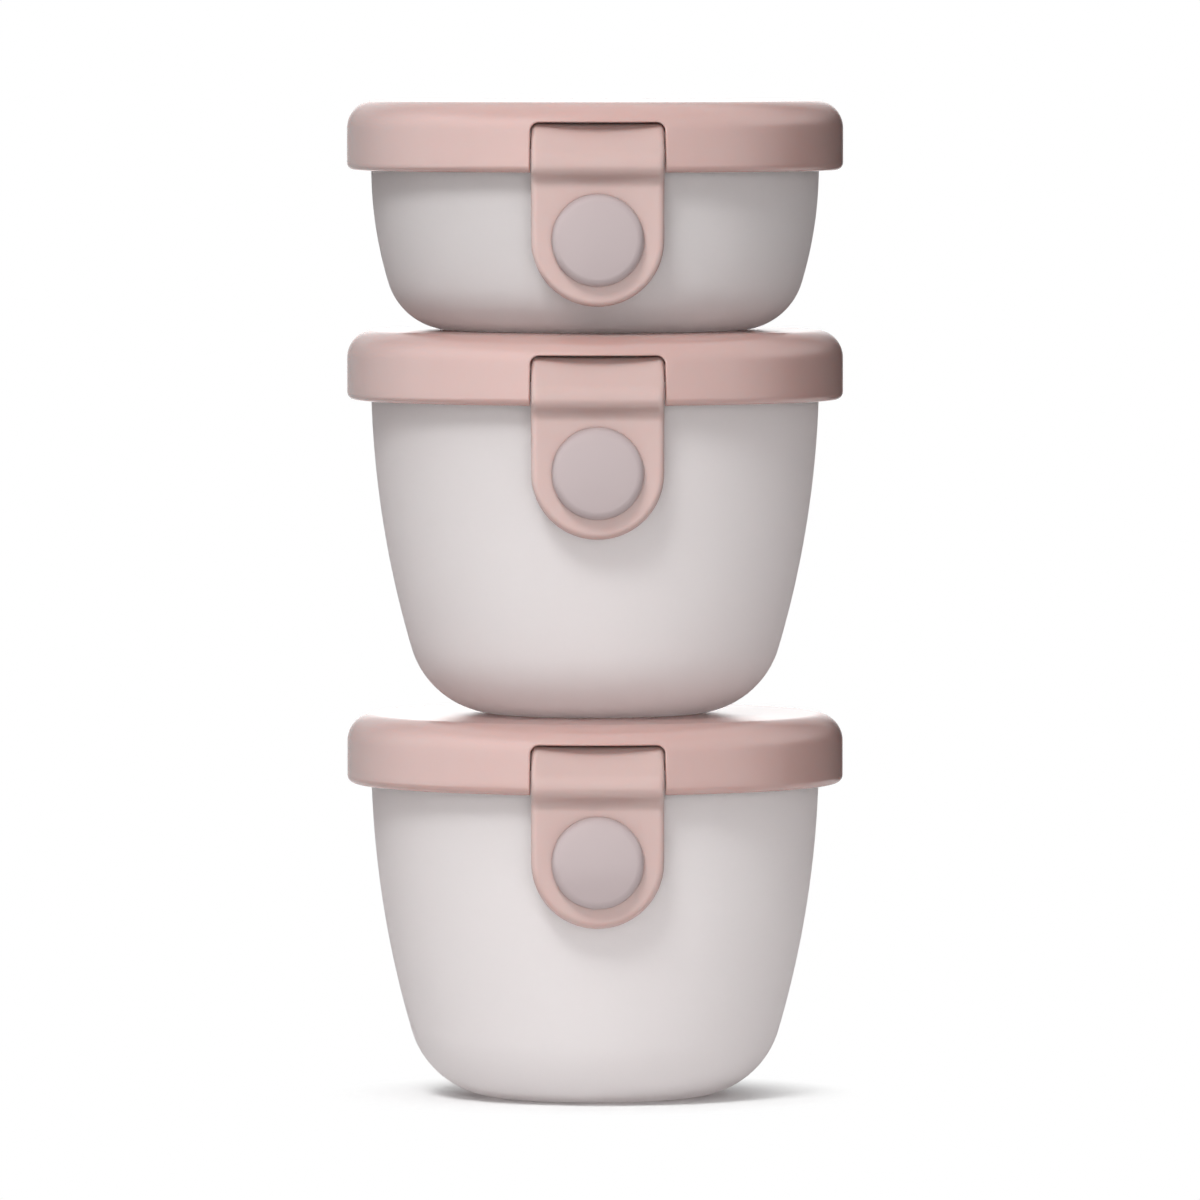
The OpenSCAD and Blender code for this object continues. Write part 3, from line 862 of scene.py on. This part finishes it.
def makeLatch():
    path, stepFoot, eyeTop = latchPath()
    last = len(path) - 1
    highest = max(range(len(path)), key=lambda i: path[i].y)
    half = latch["halfW"]
    bm = bmesh.new()

    def outward(i):
        ahead = path[min(i + 1, last)] - path[max(i - 1, 0)]
        return Vector((ahead.y, -ahead.x)).normalized()

    def edgeAt(i):
        # the front edge is rounded more than the back edge, and changes over the barrel
        past = i - highest - flap["edgeHold"]
        if past <= 0:
            return latch["frontEdge"]
        share = min(1.0, past / flap["edgeChange"])
        return latch["frontEdge"] + (latch["backEdge"] - latch["frontEdge"]) * share

    def sideColumns(i):
        edge = edgeAt(i)
        inset = [edge * (1 - math.sin(b)) for b in quarterTurn] + [0.0]
        width = [half - edge * (1 - math.cos(b)) for b in quarterTurn] + [half - edge - latch["sideStrip"]]
        return inset, width

    def placeLocal(x, u, z):
        return bm.verts.new(Vector((x, -u, z)) * mm)

    frontFrom = next(i for i in range(len(path)) if path[i].y >= stepFoot - nearby)
    backTo = next(i for i in range(last, 0, -1) if path[i].y >= eyeTop - nearby)
    columns = flap["columns"]
    right, left, across = [], [], {}
    for i, p in enumerate(path):
        n = outward(i)
        inset, width = sideColumns(i)
        right.append([placeLocal(w, p.x - n.x * d, p.y - n.y * d) for d, w in zip(inset, width)])
        left.append([placeLocal(-w, p.x - n.x * d, p.y - n.y * d) for d, w in zip(inset, width)])
        if frontFrom <= i <= backTo:
            inner = [width[-1] * (1 - 2 * k / columns) for k in range(1, columns)]
            across[i] = [placeLocal(x, p.x, p.y) for x in inner]
    for i in range(last):
        bridge(bm, right[i], right[i + 1])
        bridge(bm, left[i], left[i + 1])
        if i in across and i + 1 in across:
            rowA = [right[i][-1]] + across[i] + [left[i][-1]]
            rowB = [right[i + 1][-1]] + across[i + 1] + [left[i + 1][-1]]
            bridge(bm, rowA, rowB)
    bm.faces.new([column[0] for column in right])
    bm.faces.new([column[0] for column in left])

    # round lower end, front and back
    bend = [math.radians(-180 * k / flap["endColumns"]) for k in range(1, flap["endColumns"])]
    ends = {}
    for i in (0, last):
        inset, width = sideColumns(i)
        n = outward(i)
        rows = []
        for k, (d, w) in enumerate(zip(inset, width)):
            u = path[i].x - n.x * d
            arc = [placeLocal(w * math.cos(a), u, latch["endZ"] + w * math.sin(a)) for a in bend]
            rows.append([right[i][k]] + arc + [left[i][k]])
        for rowA, rowB in zip(rows, rows[1:]):
            bridge(bm, rowA, rowB)
        ends[i] = rows
    bridge(bm, ends[0][0], ends[last][0])

    # flat of the tongue around the eye, with a rounded front edge and a thin lip behind the stud's head
    front, back, lip = latch["tongueFront"], latch["tongueBack"], latch["eyeLip"]
    mouth = latch["eyeFront"] + latch["eyeFlare"]
    eye = arcPoints((mouth, front - latch["eyeRound"]), latch["eyeRound"], 90, 180, flap["eyeStep"])
    shoulder = (mouth - latch["eyeRound"], back + latch["shoulderRise"], latch["shoulderRound"])
    eye += roundedPath([tuple(eye[-1]), shoulder, (lip, back + latch["lipRise"], latch["lipRound"]),
                        (lip, back)], step=flap["lipStep"], hold=0.0)[1:]
    turns = [2 * math.pi * k / flap["eyeSegments"] for k in range(flap["eyeSegments"])]
    rings = []
    for r, u in eye:
        rings.append([placeLocal(r * math.sin(a), u, latch["endZ"] + r * math.cos(a)) for a in turns])
    for ringA, ringB in zip(rings, rings[1:]):
        bridge(bm, ringA, ringB, wrap=True)
    for i, edgeRow, ring, radius in ((0, frontFrom, rings[0], mouth), (last, backTo, rings[-1], lip)):
        rowTop = [right[edgeRow][-1]] + across[edgeRow] + [left[edgeRow][-1]]
        between = range(edgeRow - 1, i, -1) if i == 0 else range(edgeRow + 1, i)
        verts = rowTop + [left[j][-1] for j in between] + ends[i][-1][::-1]
        verts += [right[j][-1] for j in reversed(between)]
        loops = [[(v, v.co.x / mm, v.co.z / mm) for v in line] for line in (verts, ring)]
        fillFlat(bm, loops, [], lambda x, z: math.hypot(x, z - latch["endZ"]) > radius)
    obj = toObject("latchFlap", bm)
    for side in (1, -1):
        bm = bmesh.new()
        start = side * latch["trunnionStart"]
        end = side * latch["trunnionX"]
        pin = roundedPath([(0, start), (latch["trunnionR"], start),
                           (latch["trunnionR"], end, latch["trunnionRound"]), (0, end)], hold=shortHold)
        lathe(bm, pin, alongX(latch["hingeU"], latch["hingeZ"]), flap["trunnionSegments"])
        combine(obj, toObject("latchPin", bm), "UNION")
    obj.data.set_sharp_from_angle(angle=sharpAngle)
    return obj


setOnEachUnit(makeLatch(), "_latch_flap", "latch")
print("latches made")


# stage: white floor, a studio that is brighter on the left, soft key from the upper left

stage = dict(floorSize=0.6, shadowNear=0.022, shadowFar=0.05, paper=0.9, ambient=0.12, ceiling=1.5,
             wallTurn=(0.1, 0.35), ceilingTurn=(0.6, 0.85), aim=(0.0, 0.0, 0.09))
lamps = {
    "keyPanel": dict(place=(-0.38, -1.0, 1.2), size=(0.4, 0.4), power=17.0),
    "topPanel": dict(place=(-0.1, -0.4, 1.5), size=(0.9, 0.9), power=6.0),
    "frontPanel": dict(place=(0.15, -1.9, 0.25), size=(1.4, 1.0), power=17.0),
    "backPanel": dict(place=(0.1, 1.3, 0.35), size=(1.0, 0.8), power=6.8),
}
# what shiny surfaces mirror: light level by the angle from the camera's side, to the right
wallLow = [(-180, 2.4), (-168, 0.5), (-140, 0.9), (-90, 2.8), (-30, 3.2), (0, 2.2), (65, 1.7), (105, 0.2),
           (168, 0.0), (180, 2.4)]
wallHigh = [(-180, 1.2), (-140, 1.0), (-90, 3.0), (-30, 3.2), (0, 1.8), (90, 1.8), (150, 0.2), (180, 1.2)]


def grey(level):
    return (level, level, level, 1)


def smoothStep(wire, value, low, high):
    settings = {"interpolation_type": "SMOOTHSTEP"}
    return wire.node("ShaderNodeMapRange", settings, {0: value, 1: low, 2: high})


def turnTo(place, aim):
    return (Vector(aim) - Vector(place)).to_track_quat("-Z", "Y").to_euler()


def makeFloor():
    bm = bmesh.new()
    bmesh.ops.create_grid(bm, x_segments=1, y_segments=1, size=stage["floorSize"] / 2)
    floor = toObject("floor", bm)
    material, wire = newTree("paleFloor")
    point = objectPoint(wire)
    x, y = [wire.node("ShaderNodeSeparateXYZ", {}, {0: point}, out=k) for k in range(2)]
    away = wire.math("POWER", x * x + y * y, 0.5)
    far = smoothStep(wire, away, stage["shadowNear"], stage["shadowFar"])  # paper white away from the shadow
    seen = wire.node("ShaderNodeLightPath", out=0)
    paper = wire.node("ShaderNodeBsdfDiffuse", {}, {"Color": grey(stage["paper"])})
    glow = wire.node("ShaderNodeEmission", {}, {"Color": grey(1), "Strength": 1.0})
    output(wire, wire.node("ShaderNodeMixShader", {}, {0: far * seen, 1: paper, 2: glow}))
    floor.data.materials.append(material)


def makeSurround():
    world = bpy.data.worlds.new("studio")
    scene.world = world
    world.use_nodes = True
    world.node_tree.nodes.clear()
    wire = Wire(world.node_tree)
    way = wire.node("ShaderNodeTexCoord", out=0)
    x, y, z = [wire.node("ShaderNodeSeparateXYZ", {}, {0: way}, out=k) for k in range(3)]
    turn = wire.math("ARCTAN2", x, 0.0 - y) / (2 * math.pi) + 0.5
    walls = []
    for levels in (wallLow, wallHigh):
        stops = [(angle / 360 + 0.5, grey(level)) for angle, level in levels]
        walls.append(wire.node("ShaderNodeValToRGB", {"stops": stops}, {0: turn}))
    upper = smoothStep(wire, z, *stage["wallTurn"])
    above = smoothStep(wire, z, *stage["ceilingTurn"])
    mirrored = mixColours(wire, upper, walls[0], walls[1])
    mirrored = mixColours(wire, above, mirrored, grey(stage["ceiling"]))
    isCamera, isGlossy = [wire.node("ShaderNodeLightPath", out=k) for k in (0, 3)]
    colour = mixColours(wire, isGlossy, grey(stage["ambient"]), mirrored)
    colour = mixColours(wire, isCamera, colour, grey(1))
    sky = wire.node("ShaderNodeBackground", {}, {"Color": colour, "Strength": 1.0})
    target = wire.tree.nodes.new("ShaderNodeOutputWorld")
    wire.tree.links.new(sky.socket, target.inputs["Surface"])


def makeLamp(name, place, size, power):
    data = bpy.data.lights.new(name, "AREA")
    data.shape = "RECTANGLE"
    data.size, data.size_y = size
    data.energy = power
    lamp = bpy.data.objects.new(name, data)
    lamp.location = place
    lamp.rotation_euler = turnTo(place, stage["aim"])
    lamp.visible_camera = False
    lamp.visible_glossy = False
    scene.collection.objects.link(lamp)


makeFloor()
makeSurround()
for name, lamp in lamps.items():
    makeLamp(name, **lamp)

# camera at the photograph's viewing angle

view = dict(place=(-0.0275, -2.45, 0.198), aim=(0.0009, 0.0, 0.0901), lens=405.0, sensor=36.0)
cameraData = bpy.data.cameras.new("camera")
cameraData.lens = view["lens"]
cameraData.sensor_width = view["sensor"]
camera = bpy.data.objects.new("camera", cameraData)
camera.location = view["place"]
camera.rotation_euler = turnTo(view["place"], view["aim"])
scene.collection.objects.link(camera)
scene.camera = camera
print("stage and camera set")
